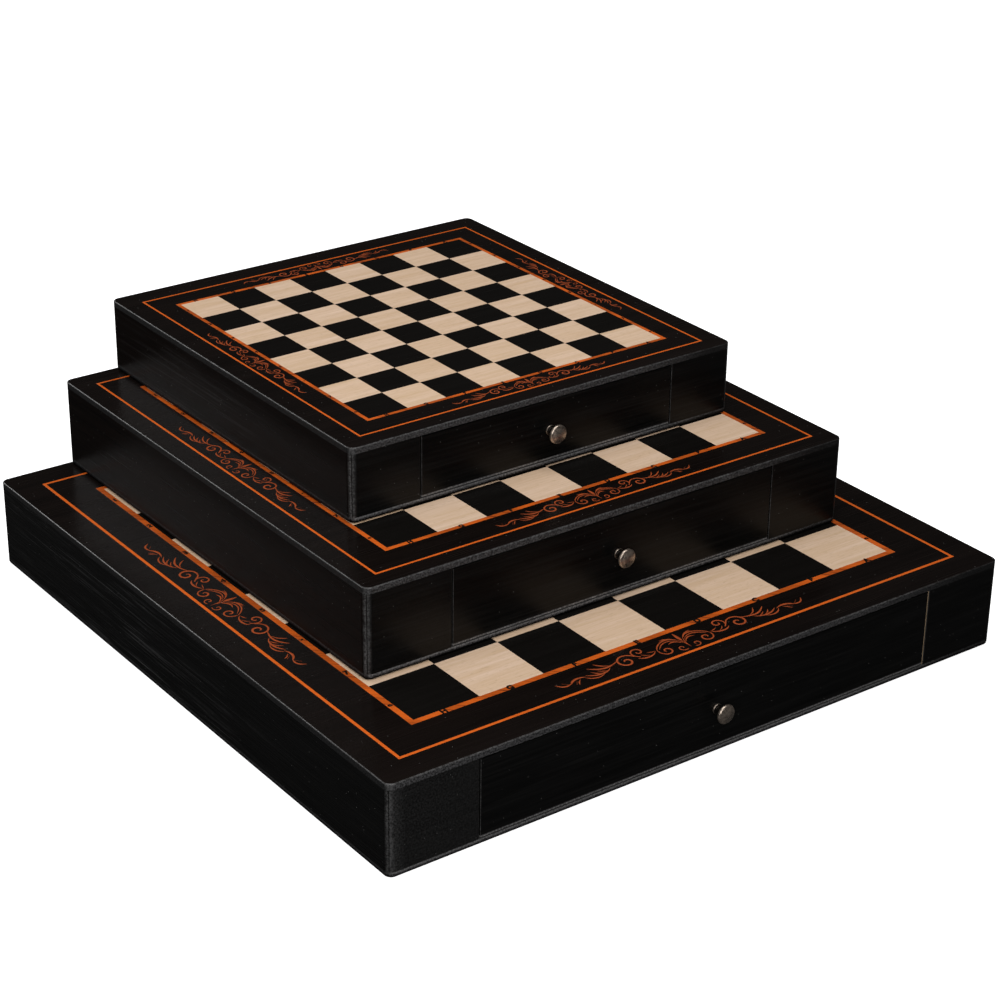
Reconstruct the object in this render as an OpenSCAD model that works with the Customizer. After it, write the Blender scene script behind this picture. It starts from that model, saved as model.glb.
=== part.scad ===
// Stack of three lacquered chess boxes, each with an inlaid board for a lid and one full-depth drawer.
// Origin: the centre of the large box's underside. +Z is up and the drawers open towards -Y.

/* [Large box] */
// Width and depth of the large box
large_side = 460; // [400:1:600]
// Height of the large box
large_height = 60; // [50:1:90]
// Width of each stile beside the large drawer
large_stile = 60; // [40:1:90]
// Distance from the large box's edge to its outer inlaid line
large_line_inset = 20; // [8:0.5:26]
// Width of the large box's outer inlaid line
large_line_width = 2.1; // [1.2:0.1:4]
// Distance from the large box's edge to the frame around its board
large_frame_inset = 45.8; // [36:0.2:56]
// Width of the frame around the large board
large_frame_width = 4; // [2.6:0.1:7]
// Distance of the large board towards the front from the middle of its box
large_board_offset = 1; // [0:0.2:3]

/* [Medium box] */
// Width and depth of the medium box
medium_side = 362; // [310:1:400]
// Height of the medium box
medium_height = 59.5; // [50:0.5:90]
// Width of each stile beside the medium drawer
medium_stile = 59; // [36:1:80]
// Distance from the medium box's edge to its outer inlaid line
medium_line_inset = 14.6; // [8:0.2:20]
// Width of the medium box's outer inlaid line
medium_line_width = 1.6; // [1:0.1:3.4]
// Distance from the medium box's edge to the frame around its board
medium_frame_inset = 35.6; // [28:0.2:46]
// Width of the frame around the medium board
medium_frame_width = 3.2; // [2.2:0.1:6]
// Distance of the medium board towards the front from the middle of its box
medium_board_offset = 2.4; // [0:0.2:3]

/* [Small box] */
// Width and depth of the small box
small_side = 290; // [250:1:310]
// Height of the small box
small_height = 49; // [45:0.5:80]
// Width of each stile beside the small drawer
small_stile = 49; // [34:1:70]
// Distance from the small box's edge to its outer inlaid line
small_line_inset = 14.2; // [8:0.2:18]
// Width of the small box's outer inlaid line
small_line_width = 1.4; // [1:0.1:3]
// Distance from the small box's edge to the frame around its board
small_frame_inset = 30.4; // [24:0.2:40]
// Width of the frame around the small board
small_frame_width = 2.6; // [2:0.1:5]
// Distance of the small board towards the front from the middle of its box
small_board_offset = 2.2; // [0:0.2:3]

/* [Stack] */
// Distance from the large box's back to the medium box's back
medium_setback = 0; // [0:0.5:20]
// Distance of the medium box to the right of the large box's centre
medium_shift = 2.3; // [-10:0.1:10]
// Distance from the large box's back to the small box's back
small_setback = 0; // [0:0.5:20]
// Distance of the small box to the right of the large box's centre
small_shift = 4; // [-10:0.1:10]

/* [Carcass] */
// Thickness of the side walls, back walls and stiles
wall = 9; // [7:0.5:14]
// Thickness of the top panels
top_thickness = 4; // [3:0.5:10]
// Thickness of the bottom panels
bottom_thickness = 4; // [3:0.5:8]
// Radius of the upright corners
corner_radius = 5; // [3:0.5:8]
// Radius of the top panels' upper edge
top_edge_radius = 1; // [0.6:0.2:2]
// Radius of the bottom panels' lower edge
bottom_edge_radius = 2.2; // [0.6:0.2:2.4]
// Thickness of the partitions that guide the drawers
guide_thickness = 8; // [5:0.5:14]

/* [Inlay] */
// Number of squares along each side of a board
squares = 8; // [6:1:12]
// Thickness of the squares and inlaid strips
veneer = 0.8; // [0.5:0.1:2]
// Hairline joint between neighbouring inlaid pieces
inlay_joint = 0.05; // [0.02:0.01:0.2]

/* [Drawer] */
// Gap around the drawers
drawer_gap = 0.8; // [0.5:0.1:2]
// Gap between the drawers' lower edges and the bottom panels
running_gap = 0.3; // [0.2:0.1:0.5]
// Gap behind a closed drawer
rear_gap = 0.5; // [0.3:0.1:2]
// Space between the drawers' sides and the top panels
headroom = 3; // [2:0.5:8]
// Thickness of the drawers' fronts
front_thickness = 10; // [8:0.5:16]
// Thickness of the drawers' sides and backs
drawer_wall = 7; // [5:0.5:12]
// Thickness of the drawers' bottoms
floor_thickness = 3; // [2:0.5:5]
// Height of the drawers' bottoms above the drawers' lower edges
floor_lift = 3; // [2:0.5:6]
// Depth of the grooves that hold the drawers' bottoms
groove_depth = 3; // [2:0.5:4]
// Play of the drawers' bottoms in their grooves
groove_play = 0.1; // [0.05:0.05:0.3]
// Thickness of the drawers' dividers
divider_thickness = 5; // [3:0.5:10]
// Distance from the drawers' side tops down to the dividers' tops
divider_drop = 4; // [1:0.5:10]
// Thickness of the felt lining
lining_thickness = 1; // [0.5:0.5:3]

/* [Knob] */
// Diameter of the knobs' heads
knob_diameter = 12.4; // [11:0.2:22]
// Distance from a drawer's front to the top of its knob
knob_projection = 11; // [10:0.5:22]
// Radius of the knob head's rim
knob_rim_radius = 1.4; // [0.8:0.1:2]
// Rise of the knob head's dome above its rim
knob_dome_rise = 1.3; // [0.5:0.1:2.5]
// Diameter of the knobs' necks
knob_neck_diameter = 5.6; // [5.4:0.2:7.4]
// Diameter of the knobs' collars
knob_collar_diameter = 8; // [7.8:0.2:10]
// Thickness of the knobs' collars
knob_collar_thickness = 2; // [1.4:0.2:3]

/* [Fasteners] */
// Diameter of the knob screws
knob_screw_diameter = 4; // [3:0.5:4.5]
// Depth of a knob screw in its knob
knob_screw_depth = 6; // [4:0.5:8]
// Diameter of a knob screw's head
knob_screw_head_diameter = 7.6; // [6.6:0.2:9]
// Thickness of a knob screw's head
knob_screw_head_thickness = 2.4; // [1.6:0.2:3]
// Depth to which a knob screw's head is sunk in the drawer's front
knob_screw_sink = 3; // [2.6:0.2:4]
// Diameter of the wood screws in the bottom panels
wood_screw_diameter = 3; // [2:0.5:4]
// Length of the wood screws
wood_screw_length = 16; // [12:1:25]
// Diameter of the wood screws' heads
wood_screw_head_diameter = 5.6; // [5.2:0.2:6.4]
// Thickness of the wood screws' heads
wood_screw_head_thickness = 1.8; // [1.2:0.2:2.4]
// Distance from a box's corners to the nearest screws in its walls
wood_screw_inset = 80; // [40:1:100]
// Clearance around the screws
screw_clearance = 0.1; // [0.05:0.05:0.2]

/* [Hidden] */
$fn = 64;
SIZES = ["large", "medium", "small"];
PIECES = [
    "top_panel", "light_squares", "dark_squares", "frame_banding", "line_banding",
    "left_wall", "right_wall", "back_wall", "front_stiles", "bottom_panel",
    "drawer_guides", "bottom_screws", "drawer_front", "drawer_sides", "drawer_back",
    "drawer_bottom", "drawer_divider", "drawer_lining", "knob", "knob_screw"
];
NODES = [for (size = SIZES, piece = PIECES) str(size, "_", piece)];
node = "all";

side = [large_side, medium_side, small_side];
height = [large_height, medium_height, small_height];
stile = [large_stile, medium_stile, small_stile];
line_inset = [large_line_inset, medium_line_inset, small_line_inset];
line_width = [large_line_width, medium_line_width, small_line_width];
frame_inset = [large_frame_inset, medium_frame_inset, small_frame_inset];
frame_width = [large_frame_width, medium_frame_width, small_frame_width];
board_offset = [large_board_offset, medium_board_offset, small_board_offset];
shift = [0, medium_shift, small_shift];
setback = [0, medium_setback, small_setback];
base = [0, large_height, large_height + medium_height];

lacquer = [0.09, 0.08, 0.075];
raw_wood = [0.80, 0.66, 0.48];
light_veneer = [0.86, 0.74, 0.63];
dark_veneer = [0.05, 0.047, 0.043];
orange_veneer = [0.80, 0.34, 0.18];
green_felt = [0.10, 0.26, 0.16];
pewter = [0.38, 0.33, 0.28];
zinc = [0.70, 0.70, 0.68];

// How far shapes that cut reach past the face that they cut through
over = 1;
// Length and width of a screw's cross recess, as shares of its head's diameter, and its depth
recess_length = 0.6;
recess_width = 0.14;
recess_depth = 1;
// Diameter of a wood screw's point
screw_point = 0.4;
head_bore = wood_screw_head_diameter + 2 * screw_clearance;
shank_bore = wood_screw_diameter + 2 * screw_clearance;
knob_screw_bore = knob_screw_diameter + 2 * screw_clearance;
knob_screw_head_bore = knob_screw_head_diameter + 2 * screw_clearance;

// Heights in a drawer, above the box's underside
drawer_low = bottom_thickness + running_gap;
floor_low = drawer_low + floor_lift;
floor_top = floor_low + floor_thickness;
function under_top(i) = height[i] - top_thickness;
function drawer_high(i) = under_top(i) - headroom;
function knob_height(i) = height[i] / 2;

// Widths across a box
function board(i) = side[i] - 2 * (frame_inset[i] + frame_width[i]);
function opening(i) = side[i] - 2 * stile[i];
function drawer_width(i) = opening(i) - 2 * drawer_gap;
function inside_width(i) = drawer_width(i) - 2 * drawer_wall;

// Depths in a drawer, from the box's centre
function inside_front(i) = front_thickness - side[i] / 2;
function drawer_back_face(i) = side[i] / 2 - wall - rear_gap;
function inside_back(i) = drawer_back_face(i) - drawer_wall;
function inside_length(i) = inside_back(i) - inside_front(i);

// ---- Shared outlines ----

// Square outline with round corners, centred
module plan(width, radius) {
    square([width - 2 * radius, width], center = true);
    square([width, width - 2 * radius], center = true);
    for (x = [-1, 1], y = [-1, 1])
        translate([x, y] * (width / 2 - radius)) circle(radius);
}

module quarter_disc(radius) {
    intersection() {
        circle(radius);
        square(radius);
    }
}

// Square panel on z = 0 with round corners, whose upper edge has its own radius
module edged_panel(width, thickness, edge) {
    straight = width - 2 * corner_radius;
    linear_extrude(thickness - edge) plan(width, corner_radius);
    translate([0, 0, thickness - edge]) {
        linear_extrude(edge) plan(width - 2 * edge, corner_radius - edge);
        for (turn = [0 : 90 : 270]) rotate(turn) {
            translate([width / 2 - edge, straight / 2, 0])
                rotate([90, 0, 0]) linear_extrude(straight) quarter_disc(edge);
            translate([straight / 2, straight / 2, 0])
                rotate_extrude(angle = 90) translate([corner_radius - edge, 0]) quarter_disc(edge);
        }
    }
}

// Ring of four mitred strips, with a hairline joint at each mitre
module mitred_ring(outer, width) {
    inner = outer - 2 * width;
    for (turn = [0 : 90 : 270]) rotate(turn)
        polygon([
            [-(outer - inlay_joint) / 2, -outer / 2], [(outer - inlay_joint) / 2, -outer / 2],
            [(inner - inlay_joint) / 2, -inner / 2], [-(inner - inlay_joint) / 2, -inner / 2]
        ]);
}

// Every second square of a board, starting at the front left where phase is 0
module checker(i, phase) {
    pitch = board(i) / squares;
    for (column = [0 : squares - 1], row = [0 : squares - 1])
        if ((column + row) % 2 == phase)
            translate([(column + 0.5) * pitch - board(i) / 2, (row + 0.5) * pitch - board(i) / 2])
                square(pitch - inlay_joint, center = true);
}

// ---- Carcass ----

module top_panel(i) {
    color(lacquer) difference() {
        translate([0, 0, under_top(i)]) edged_panel(side[i], top_thickness, top_edge_radius);
        at_inlay(i) {
            linear_extrude(veneer + over) square(side[i] - 2 * frame_inset[i], center = true);
            linear_extrude(veneer + over) difference() {
                square(side[i] - 2 * line_inset[i], center = true);
                square(side[i] - 2 * (line_inset[i] + line_width[i]), center = true);
            }
        }
    }
}

// Centre of the inlay, at the height of its underside
module at_inlay(i) {
    translate([0, -board_offset[i], height[i] - veneer]) children();
}

module inlaid(i) {
    at_inlay(i) linear_extrude(veneer) children();
}

module light_squares(i) {
    color(light_veneer) inlaid(i) checker(i, 1);
}

module dark_squares(i) {
    color(dark_veneer) inlaid(i) checker(i, 0);
}

module frame_banding(i) {
    color(orange_veneer) inlaid(i) mitred_ring(side[i] - 2 * frame_inset[i], frame_width[i]);
}

module line_banding(i) {
    color(orange_veneer) inlaid(i) mitred_ring(side[i] - 2 * line_inset[i], line_width[i]);
}

// Wall along the front edge, before it is turned to its side, mitred at both ends
module wall_outline(i) {
    outer = side[i] / 2;
    inner = outer - wall;
    intersection() {
        plan(side[i], corner_radius);
        polygon([[-outer, -outer], [outer, -outer], [inner, -inner], [-inner, -inner]]);
    }
}

module carcass_wall(i, turn) {
    color(lacquer) difference() {
        translate([0, 0, bottom_thickness])
            linear_extrude(under_top(i) - bottom_thickness) rotate(turn) wall_outline(i);
        wood_screw_bores(i);
    }
}

module left_wall(i) {
    carcass_wall(i, 270);
}

module right_wall(i) {
    carcass_wall(i, 90);
}

module back_wall(i) {
    carcass_wall(i, 180);
}

module front_stiles(i) {
    color(lacquer) difference() {
        translate([0, 0, bottom_thickness])
            linear_extrude(under_top(i) - bottom_thickness) difference() {
                wall_outline(i);
                square([opening(i), side[i] + over], center = true);
            }
        wood_screw_bores(i);
    }
}

module drawer_guides(i) {
    length = side[i] - 2 * wall;
    color(raw_wood) translate([0, 0, bottom_thickness]) linear_extrude(under_top(i) - bottom_thickness)
        for (x = [-1, 1]) translate([x * (opening(i) + guide_thickness) / 2, 0])
            square([guide_thickness, length], center = true);
}

module bottom_panel(i) {
    color(lacquer) difference() {
        translate([0, 0, bottom_thickness]) mirror([0, 0, 1])
            edged_panel(side[i], bottom_thickness, bottom_edge_radius);
        wood_screw_bores(i);
        at_wood_screws(i) translate([0, 0, -over]) cylinder(h = over + screw_clearance, d = head_bore);
        at_wood_screws(i) translate([0, 0, screw_clearance])
            cylinder(h = wood_screw_head_thickness, d1 = head_bore, d2 = shank_bore);
    }
}

// ---- Wood screws that hold the bottom panel ----

// Two screws in each side wall, two in the back wall and one in each stile
module at_wood_screws(i) {
    middle = (side[i] - wall) / 2;
    near_corner = side[i] / 2 - wood_screw_inset;
    in_stile = (side[i] - stile[i]) / 2;
    for (x = [-1, 1]) {
        for (y = [-1, 1]) translate([x * middle, y * near_corner]) children();
        translate([x * near_corner, middle]) children();
        translate([x * in_stile, -middle]) children();
    }
}

module wood_screw_bores(i) {
    at_wood_screws(i) translate([0, 0, -over])
        cylinder(h = over + wood_screw_length + screw_clearance, d = shank_bore);
}

module cross_recess(diameter) {
    for (turn = [0, 90]) rotate(turn)
        cube([diameter * recess_length, diameter * recess_width, 2 * recess_depth], center = true);
}

module bottom_screws(i) {
    tip = wood_screw_diameter / 2;
    color(zinc) at_wood_screws(i) translate([0, 0, screw_clearance]) difference() {
        union() {
            cylinder(h = wood_screw_head_thickness, d1 = wood_screw_head_diameter, d2 = wood_screw_diameter);
            cylinder(h = wood_screw_length - 2 * tip, d = wood_screw_diameter);
            translate([0, 0, wood_screw_length - 2 * tip])
                cylinder(h = 2 * tip, d1 = wood_screw_diameter, d2 = screw_point);
        }
        cross_recess(wood_screw_head_diameter);
    }
}

// ---- Drawer ----

// Groove that the drawer's bottom sits in, all round the inside of the drawer
module floor_space(i, play) {
    translate([
        -inside_width(i) / 2 - groove_depth - play,
        inside_front(i) - groove_depth - play,
        floor_low - play
    ]) cube([
        inside_width(i) + 2 * (groove_depth + play),
        inside_length(i) + 2 * (groove_depth + play),
        floor_thickness + 2 * play
    ]);
}

// Axis of the knob screw, pointing out of the drawer's front from the front's face
module on_knob_axis(i) {
    translate([0, -side[i] / 2, knob_height(i)]) rotate([90, 0, 0]) children();
}

module drawer_front(i) {
    low = bottom_thickness + drawer_gap;
    high = under_top(i) - drawer_gap;
    color(lacquer) difference() {
        translate([-drawer_width(i) / 2, -side[i] / 2, low])
            cube([drawer_width(i), front_thickness, high - low]);
        floor_space(i, groove_play);
        on_knob_axis(i) translate([0, 0, -front_thickness - over]) {
            cylinder(h = front_thickness + 2 * over, d = knob_screw_bore);
            cylinder(h = over + knob_screw_sink, d = knob_screw_head_bore);
        }
    }
}

module drawer_sides(i) {
    length = drawer_back_face(i) - inside_front(i);
    color(raw_wood) difference() {
        for (x = [-1, 1])
            translate([x * (drawer_width(i) - drawer_wall) / 2 - drawer_wall / 2, inside_front(i), drawer_low])
                cube([drawer_wall, length, drawer_high(i) - drawer_low]);
        floor_space(i, groove_play);
    }
}

module drawer_back(i) {
    color(raw_wood) difference() {
        translate([-inside_width(i) / 2, inside_back(i), drawer_low])
            cube([inside_width(i), drawer_wall, drawer_high(i) - drawer_low]);
        floor_space(i, groove_play);
    }
}

module drawer_bottom(i) {
    color(raw_wood) floor_space(i, 0);
}

module drawer_divider(i) {
    color(raw_wood) translate([-divider_thickness / 2, inside_front(i), floor_top])
        cube([divider_thickness, inside_length(i), drawer_high(i) - divider_drop - floor_top]);
}

module drawer_lining(i) {
    width = (inside_width(i) - divider_thickness) / 2;
    color(green_felt) for (x = [-1, 1])
        translate([x * (width + divider_thickness) / 2 - width / 2, inside_front(i), floor_top])
            cube([width, inside_length(i), lining_thickness]);
}

// ---- Knob ----

// Half outline of the knob, standing on its collar
module knob_outline() {
    collar_edge = knob_collar_thickness / 2;
    rim_reach = knob_diameter / 2 - knob_rim_radius;
    rim_height = knob_projection - knob_dome_rise - knob_rim_radius;
    dome_radius = (pow(rim_reach, 2) + pow(knob_dome_rise, 2)) / (2 * knob_dome_rise);
    flare = (knob_diameter - knob_neck_diameter) / 4;
    square([knob_collar_diameter / 2 - collar_edge, knob_collar_thickness]);
    translate([knob_collar_diameter / 2 - collar_edge, collar_edge]) circle(collar_edge);
    square([knob_neck_diameter / 2, rim_height]);
    polygon([
        [0, rim_height - knob_rim_radius - flare],
        [knob_neck_diameter / 2, rim_height - knob_rim_radius - flare],
        [knob_neck_diameter / 2 + flare, rim_height - knob_rim_radius],
        [0, rim_height - knob_rim_radius]
    ]);
    translate([0, rim_height - knob_rim_radius]) square([rim_reach, 2 * knob_rim_radius]);
    translate([rim_reach, rim_height]) circle(knob_rim_radius);
    intersection() {
        translate([0, knob_projection - dome_radius]) circle(dome_radius);
        translate([0, rim_height]) square([rim_reach, knob_projection]);
    }
}

module knob(i) {
    color(pewter) on_knob_axis(i) difference() {
        rotate_extrude() knob_outline();
        translate([0, 0, -over])
            cylinder(h = over + knob_screw_depth + over, d = knob_screw_diameter + screw_clearance);
    }
}

module knob_screw(i) {
    head_face = -front_thickness + knob_screw_sink;
    color(zinc) on_knob_axis(i) translate([0, 0, head_face]) difference() {
        union() {
            cylinder(h = knob_screw_depth - head_face, d = knob_screw_diameter);
            translate([0, 0, -knob_screw_head_thickness])
                cylinder(h = knob_screw_head_thickness, d = knob_screw_head_diameter);
        }
        translate([0, 0, -knob_screw_head_thickness]) cross_recess(knob_screw_head_diameter);
    }
}

// ---- Assembly ----

module placed(i) {
    translate([shift[i], (large_side - side[i]) / 2 - setback[i], base[i]]) children();
}

function chosen(i, piece) = node == "all" || node == str(SIZES[i], "_", piece);

for (i = [0 : len(SIZES) - 1]) placed(i) {
    if (chosen(i, "top_panel")) top_panel(i);
    if (chosen(i, "light_squares")) light_squares(i);
    if (chosen(i, "dark_squares")) dark_squares(i);
    if (chosen(i, "frame_banding")) frame_banding(i);
    if (chosen(i, "line_banding")) line_banding(i);
    if (chosen(i, "left_wall")) left_wall(i);
    if (chosen(i, "right_wall")) right_wall(i);
    if (chosen(i, "back_wall")) back_wall(i);
    if (chosen(i, "front_stiles")) front_stiles(i);
    if (chosen(i, "bottom_panel")) bottom_panel(i);
    if (chosen(i, "drawer_guides")) drawer_guides(i);
    if (chosen(i, "bottom_screws")) bottom_screws(i);
    if (chosen(i, "drawer_front")) drawer_front(i);
    if (chosen(i, "drawer_sides")) drawer_sides(i);
    if (chosen(i, "drawer_back")) drawer_back(i);
    if (chosen(i, "drawer_bottom")) drawer_bottom(i);
    if (chosen(i, "drawer_divider")) drawer_divider(i);
    if (chosen(i, "drawer_lining")) drawer_lining(i);
    if (chosen(i, "knob")) knob(i);
    if (chosen(i, "knob_screw")) knob_screw(i);
}
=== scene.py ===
"""Stack of three lacquered chess boxes with inlaid boards and drawers, dressed around its fixed frame."""

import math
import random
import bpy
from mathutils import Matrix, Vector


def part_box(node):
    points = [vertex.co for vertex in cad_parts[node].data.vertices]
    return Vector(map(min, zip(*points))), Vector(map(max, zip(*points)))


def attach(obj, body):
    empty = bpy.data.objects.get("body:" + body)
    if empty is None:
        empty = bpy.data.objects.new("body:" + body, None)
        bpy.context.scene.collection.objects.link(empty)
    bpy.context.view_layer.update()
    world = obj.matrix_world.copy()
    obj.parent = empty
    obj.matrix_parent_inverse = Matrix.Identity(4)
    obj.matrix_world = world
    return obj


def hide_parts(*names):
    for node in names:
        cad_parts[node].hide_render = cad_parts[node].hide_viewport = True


bl_info = {
    "name": "Stacked chess boxes",
    "version": (1, 0, 0),
    "blender": (4, 5, 0),
    "location": "3D View > Sidebar > Chess boxes",
    "description": "Lacquered cases, inlaid boards, scrolls, drawers and knobs of three stacked chess boxes",
    "category": "Object",
}

import bmesh
import bpy
from bpy.props import FloatProperty, FloatVectorProperty, IntProperty, PointerProperty
from mathutils import Matrix, Vector

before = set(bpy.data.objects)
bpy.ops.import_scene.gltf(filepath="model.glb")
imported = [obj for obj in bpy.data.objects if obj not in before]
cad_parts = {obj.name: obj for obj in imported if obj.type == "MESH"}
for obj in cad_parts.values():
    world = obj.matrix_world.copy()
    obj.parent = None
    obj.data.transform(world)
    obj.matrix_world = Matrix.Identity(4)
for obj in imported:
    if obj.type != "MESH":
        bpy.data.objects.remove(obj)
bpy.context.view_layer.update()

SIZES = ("large", "medium", "small")
MM = 0.001
NEAR = 0.001 * MM
QUARTER_TURN = math.pi / 2
FILES = "ABCDEFGH"
RANKS = "12345678"
# Angles that turn the grain, which runs along X, to run along X or Y.
ALONG_X = 0.0
ALONG_Y = QUARTER_TURN
# Shader node groups and materials by name, filled by the finishes step.
PATTERNS = {}
FINISHES = {}


# ---------------------------------------------------------------- settings


def length(name, description, millimetres):
    """Setting for a length, with its default in millimetres."""
    return FloatProperty(name=name, description=description, default=millimetres * MM, unit="LENGTH")


def number(name, description, default):
    """Setting for a plain number."""
    return FloatProperty(name=name, description=description, default=default)


def colour(name, description, default):
    """Setting for a colour, in linear values."""
    return FloatVectorProperty(
        name=name, description=description, default=default, subtype="COLOR", min=0, max=1
    )


def power(name, description, default):
    """Setting for a lamp's power in watts."""
    return FloatProperty(name=name, description=description, default=default, unit="POWER")


class CaseSettings(bpy.types.PropertyGroup):
    """Sizes of the lacquered cases and drawers that the frame's boxes don't give."""

    corner_radius: length("Corner radius", "Radius of the upright corners", 5)
    top_edge_radius: length("Top edge radius", "Radius of the top panels' upper edge", 1)
    mitre_groove: length("Mitre groove", "Bevel along the corner joints of the walls", 0.25)
    # The rubbed front corners also carry a painted highlight on the side that the light comes from.
    rub_and_light_width: length("Rub and light width", "Width over which the rubbed front corners fade out", 7)
    foot_rub: length("Foot rub", "Height of the rubbed lower edge of the drawer fronts", 0.7)
    front_bevel: length("Drawer front bevel", "Bevel at the ends of the drawer fronts", 0.5)
    opening_bevel: length("Opening bevel", "Bevel on the stiles beside the drawers", 0.5)
    screw_head_depth: length("Screw head depth", "Depth of the hole for a knob screw's head", 3)
    screw_clearance: length("Screw clearance", "Gap around a knob screw's head", 0.1)
    board_bevel: length("Drawer board bevel", "Rounding of the drawer sides' edges", 0.8)
    felt_edge: length("Felt edge", "Rounding of the felt lining's edges", 0.4)


class InlaySettings(bpy.types.PropertyGroup):
    """Sizes of the inlaid tiles, labels and scrolls."""

    tile_bevel: length("Tile bevel", "Bevel on the squares and strips", 0.12)
    label_height: length("Label height", "Height of the large board's letters and numbers", 4.0)
    label_relief: length("Label relief", "Height of the printed labels above the inlay", 0.02)
    label_boldness: number("Label boldness", "Widening of a label's strokes as a share of its height", 0.10)
    scroll_length: length("Scroll length", "Length of the large board's scrolls", 187)
    scroll_weight: number("Scroll weight", "Share of the drawn width that a scroll stroke has", 0.86)
    scroll_flatness: number("Scroll flatness", "Height of a scroll stroke as a share of its width", 0.06)


class KnobSettings(bpy.types.PropertyGroup):
    """Sizes of the turned knobs."""

    collar_radius: length("Collar radius", "Radius of the bead at the knob's foot", 3.4)
    collar_height: length("Collar height", "Thickness of the bead at the knob's foot", 1.7)
    neck_radius: length("Neck radius", "Radius of the knob's neck", 2.2)
    rim_radius: length("Rim radius", "Radius of the knob head's rounded rim", 1.4)
    dome_rise: length("Dome rise", "Rise of the knob head's dome", 1.3)
    steps: IntProperty(name="Steps", description="Number of sides of a turned knob", default=64)


class FinishSettings(bpy.types.PropertyGroup):
    """Colours of the finishes."""

    lacquer: colour("Lacquer", "Black lacquer on the fronts and backs", (0.0016, 0.00155, 0.0015))
    side_lacquer: colour(
        "Side lacquer", "Brushed black lacquer on the side walls", (0.0016, 0.00155, 0.0015)
    )
    # Painted sheen: a light colour laid on the side walls' brush strokes where the back lamp's reflection
    # falls.
    brushed: colour("Brush sheen", "Strokes where a side wall is brushed thin", (0.090, 0.089, 0.090))
    top_lacquer: colour("Top lacquer", "Brown-black lacquer on the top panels", (0.0043, 0.0028, 0.0023))
    panel_side: colour("Panel side", "Matt sides of the top and bottom panels", (0.038, 0.037, 0.038))
    # Worn edges, whose light colour also stands for a painted highlight along the arrises.
    worn: colour("Worn edges and highlights", "Edges where the lacquer has worn thin", (0.105, 0.103, 0.103))
    dust: colour("Dust", "Specks of dust on the lacquer", (0.12, 0.117, 0.112))
    light_veneer: colour("Light veneer", "Pale squares", (0.69, 0.522, 0.41))
    light_veneer_line: colour("Light veneer line", "Grain lines in the pale squares", (0.50, 0.34, 0.20))
    dark_veneer: colour("Dark veneer", "Black squares", (0.0030, 0.0026, 0.0023))
    orange_veneer: colour("Orange veneer", "Inlaid strips", (0.57, 0.102, 0.010))
    orange_vein: colour("Orange vein", "Dark veins in the inlaid strips", (0.11, 0.018, 0.006))
    scroll: colour("Scroll", "Scroll ornament", (0.36, 0.068, 0.018))
    label: colour("Label", "Letters and numbers", (0.006, 0.004, 0.003))
    raw_wood: colour("Raw wood", "Unfinished wood inside", (0.56, 0.40, 0.25))
    felt: colour("Felt", "Felt lining of the drawers", (0.012, 0.075, 0.035))
    pewter: colour("Pewter", "Knobs", (0.42, 0.345, 0.285))
    zinc: colour("Zinc", "Screws", (0.58, 0.58, 0.56))


class StageSettings(bpy.types.PropertyGroup):
    """Camera, lamps and floor."""

    camera_place: FloatVectorProperty(
        name="Camera place", description="Where the camera stands", default=(-0.8555, -1.1750, 0.7752),
        subtype="TRANSLATION", unit="LENGTH",
    )
    camera_turn: FloatVectorProperty(
        name="Camera turn", description="Tilt, roll and heading of the camera",
        default=(math.radians(64.230), math.radians(-0.645), math.radians(-36.096)), subtype="EULER",
    )
    lens: number("Lens", "Focal length in millimetres", 90.61)
    overhead_power: power("Overhead lamp", "Power of the overhead softbox", 16.2)
    back_power: power("Back lamp", "Power of the softbox at the back left", 13.5)
    front_power: power("Front lamp", "Power of the lamp at the front left", 9.0)
    floor_glow: number("Floor glow", "Light that the floor adds for the camera", 0.8)
    even_light: number("Even light", "Strength of the world on all surfaces", 0.30)
    mirrored_light: number("Mirrored light", "Strength of the world where it is mirrored", 0.02)


# ---------------------------------------------------------------- modelling helpers


def deselect():
    """Leaves edit mode and clears the selection."""
    if bpy.context.object and bpy.context.object.mode != "OBJECT":
        bpy.ops.object.mode_set(mode="OBJECT")
    bpy.ops.object.select_all(action="DESELECT")


def activate(obj):
    """Selects one object alone and makes it the active one."""
    deselect()
    obj.select_set(True)
    bpy.context.view_layer.objects.active = obj


def settle(obj):
    """Puts an object's place, turn and scale into its mesh."""
    activate(obj)
    bpy.ops.object.transform_apply(location=True, rotation=True, scale=True)
    return obj


def rename(obj, name):
    """Names an object and its mesh."""
    obj.name = name
    obj.data.name = name
    return obj


def add_block(name, low, high):
    """Rectangular block between two corners."""
    low, high = Vector(low), Vector(high)
    deselect()
    bpy.ops.mesh.primitive_cube_add(size=1, location=(low + high) / 2)
    obj = bpy.context.object
    obj.scale = high - low
    return rename(settle(obj), name)


def copy_of(obj, name):
    """Copy with a mesh of its own."""
    twin = obj.copy()
    twin.data = obj.data.copy()
    bpy.context.scene.collection.objects.link(twin)
    return rename(twin, name)


def turned_copy(obj, name, centre, angle):
    """Copy turned about the upright axis through a point."""
    twin = copy_of(obj, name)
    turn = Matrix.Rotation(angle, 4, "Z")
    twin.matrix_world = Matrix.Translation(centre) @ turn @ Matrix.Translation(-centre)
    return settle(twin)


def join(pieces, name):
    """Joins several objects into the first."""
    deselect()
    for piece in pieces:
        piece.select_set(True)
    bpy.context.view_layer.objects.active = pieces[0]
    bpy.ops.object.join()
    return rename(bpy.context.object, name)


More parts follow.
